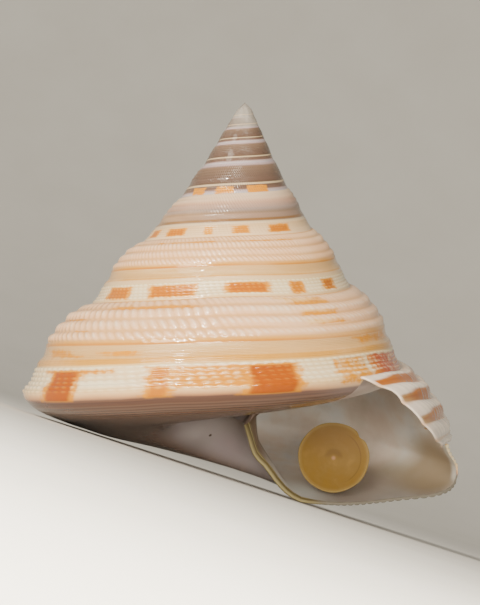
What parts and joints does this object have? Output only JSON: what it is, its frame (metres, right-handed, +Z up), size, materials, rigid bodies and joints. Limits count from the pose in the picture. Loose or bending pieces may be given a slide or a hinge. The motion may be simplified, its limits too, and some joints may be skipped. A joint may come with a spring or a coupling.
{
  "type": "slit shell",
  "caption": "Conical sea snail shell with beaded spiral cords, a slit in its outer lip, a pearly mouth and a round horny lid, resting on its base.",
  "frame": {"origin": "on the floor, under the middle of the box of the resting shell", "axes": "+Z up; the mouth faces -Y, and the outer lip is at +X"},
  "size_m": [0.061, 0.058, 0.0498],
  "materials": {
    "shell": "glossy natural aragonite, cream with orange patches, pearly inside the mouth",
    "operculum": "yellow-brown horn, satin"
  },
  "bodies": {
    "root": {"shell": "shell", "operculum": "operculum"}
  },
  "joints": []
}
